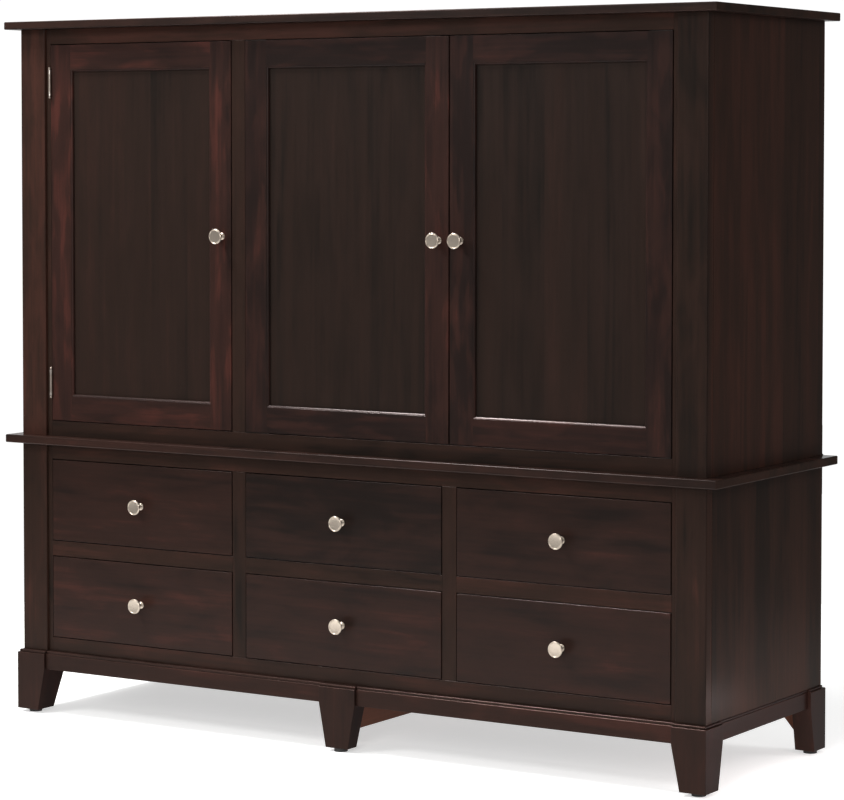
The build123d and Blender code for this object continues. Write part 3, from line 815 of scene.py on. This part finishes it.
def drawer_rails(name, body):
    """The two rolled rails of a drawer, the screws in them and the screws that hold its front."""
    low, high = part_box(name + "_slides")
    box_low, box_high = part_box(name + "_box")
    screw_shares = (0.07, 0.32, 0.58, 0.93)
    front_screw_inset = 60 * MM
    front_screw_heights = (40 * MM, 125 * MM)
    vertices = []
    faces = []
    screws = []
    for side, web, far in ((-1, box_low[0], low[0]), (1, box_high[0], high[0])):
        corners, rings = rail_shape(web, far, low, high, side)
        faces += [tuple(i + len(vertices) for i in ring) for ring in rings]
        vertices += corners
        for share in screw_shares:
            place = (web + side * rail_wall, low[1] + (high[1] - low[1]) * share, (low[2] + high[2]) / 2)
            screws.append((place, (side, 0, 0)))
    mesh = solid_mesh(name + "_rails", vertices, faces)
    add_piece(name + "_rails", mesh, zinc, body, "zinc_steel", [name + "_slides"])
    for x in (box_low[0] + front_screw_inset, box_high[0] - front_screw_inset):
        for height in front_screw_heights:
            screws.append(((x, box_low[1] + drawer_board, box_low[2] + height), (0, 1, 0)))
    scatter(name + "_screws", screws, zinc, dark_steel, body, "zinc_steel", radius=3.6 * MM, height=1.4 * MM)


def drawer_dovetails(name, body):
    """The end grain of the dovetails at the four corners of a drawer box."""
    low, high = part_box(name + "_box")
    tails = 5
    proud = 0.12 * MM
    pitch = (high[2] - low[2]) / tails
    narrow_share = 0.14
    wide_share = 0.24
    narrow = pitch * narrow_share
    wide = pitch * wide_share
    vertices = []
    faces = []
    for x, side in ((low[0], -1), (high[0], 1)):
        for y, way in ((low[1], 1), (high[1], -1)):
            for i in range(tails + 1):
                middle = low[2] + i * pitch
                corners = [(y, max(middle - narrow, low[2])), (y, min(middle + narrow, high[2])),
                           (y + way * drawer_board, min(middle + wide, high[2])),
                           (y + way * drawer_board, max(middle - wide, low[2]))]
                start = len(vertices)
                vertices += [(x + side * proud, py, pz) for py, pz in corners]
                vertices += [(x - side * proud, py, pz) for py, pz in corners]
                faces.append((start, start + 1, start + 2, start + 3))
                faces.append((start + 7, start + 6, start + 5, start + 4))
                faces += [(start + k, start + 4 + k, start + 4 + (k + 1) % 4, start + (k + 1) % 4)
                          for k in range(4)]
    mesh = solid_mesh(name + "_dovetails", vertices, faces, with_grain=True)
    add_piece(name + "_dovetails", mesh, end_grain, body, "drawer_wood")


def drawer_details():
    for row in drawer_rows:
        for column in drawer_columns:
            name = "drawer_" + row + "_" + column
            body = nodes[name + "_box"]["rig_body"]
            drawer_rails(name, body)
            drawer_dovetails(name, body)


def add_floor():
    """A pale round floor."""
    radius = 2.4
    count = 128
    angles = [2 * math.pi * i / count for i in range(count)]
    mesh = bpy.data.meshes.new("floor")
    mesh.from_pydata([(radius * math.cos(a), radius * math.sin(a), 0.0) for a in angles], [],
                     [tuple(range(count))])
    mesh.materials.append(Finish("pale_floor").finish({
        "Base Color": rgb(0.80, 0.80, 0.79), "Roughness": 0.9, "Specular IOR Level": 0.1,
        "Emission Color": rgb(1.0, 1.0, 1.0), "Emission Strength": 0.55}))
    new_object("floor", mesh)


def add_world():
    """A dim room with a bright backdrop and ceiling. The camera itself sees plain white."""
    world = bpy.data.worlds.new("studio")
    bpy.context.scene.world = world
    world.use_nodes = True
    sky = NodeMaker(world.node_tree)
    direction = sky.add("ShaderNodeTexCoord", {}, {}).outputs["Generated"]
    rise = sky.parts(direction)[2]
    ahead = (-math.sin(math.radians(view_turn)), math.cos(math.radians(view_turn)), 0.0)
    toward = Number(sky, sky.vector_math("DOT_PRODUCT", direction, ahead).outputs["Value"])
    backdrop_edge, backdrop_full = [math.cos(math.radians(angle)) for angle in (16, 11)]
    backdrop = toward.ramp(backdrop_edge, backdrop_full)
    ground = rise.ramp(0.03, -0.02)
    ceiling = rise.ramp(0.45, 0.85)
    room_level = 0.2
    brightest = 1.05
    level = (backdrop * 0.85 + ground * 0.1 + ceiling * 0.4 + room_level).math("MINIMUM", brightest)
    seen = Number(sky, sky.add("ShaderNodeLightPath", {}, {}).outputs["Is Camera Ray"])
    background = world.node_tree.nodes["Background"]
    sky.link(background.inputs["Color"], rgb(1.0, 1.0, 1.0))
    sky.link(background.inputs["Strength"], level.math("MAXIMUM", seen))


def add_area(name, place, target, size, power, colour=(1.0, 1.0, 1.0)):
    light = bpy.data.lights.new(name, "AREA")
    light.shape = "RECTANGLE"
    light.size, light.size_y = size
    light.energy = power
    light.color = colour
    lamp = new_object(name, light)
    lamp.location = place
    lamp.rotation_euler = (Vector(target) - Vector(place)).to_track_quat("-Z", "Y").to_euler()
    lamp.visible_camera = False


def add_lights():
    """Soft studio lights. The low ones stand for the bright floor beside the right end."""
    add_area("overhead", (-1.35, -0.85, 3.6), (-0.4, -0.4, 0.8), (1.2, 0.5), 120.0)
    add_area("key", (-1.9, -3.4, 3.3), (-0.6, -0.2, 1.1), (1.4, 1.2), 74.0)
    add_area("fill", (1.6, -4.3, 2.0), (0.0, -0.3, 1.0), (1.2, 1.2), 60.0)
    add_area("side", (3.4, 1.2, 2.4), (0.95, 0.0, 0.9), (1.0, 1.0), 22.0)
    add_area("low_side", (2.1, -0.55, 0.14), (0.95, -0.1, 0.25), (0.9, 0.12), 0.3)
    add_area("low_glow", (1.17, -0.04, 0.13), (0.95, -0.04, 0.14), (0.5, 0.03), 0.85, (1.0, 0.84, 0.84))


def add_camera():
    camera = bpy.data.cameras.new("camera")
    camera.sensor_fit = "HORIZONTAL"
    camera.sensor_width = 36.0
    camera.lens = camera.sensor_width * focal_pixels / photo_width
    camera.shift_y = (horizon_pixel - photo_height / 2) / photo_width
    camera.clip_end = 60.0
    eye = new_object("camera", camera)
    eye.location = eye_place
    eye.rotation_euler = [math.radians(turn) for turn in (90 - view_drop, view_roll, view_turn)]
    bpy.context.scene.camera = eye


case_boards()
base_boards()
door_boards()
drawer_boards()
hardware()
drawer_details()
hinge_screws()
back_nails()
shelf_hole_shade_discs()
bpy.context.scene.view_settings.view_transform = "Standard"
add_floor()
add_world()
add_lights()
add_camera()
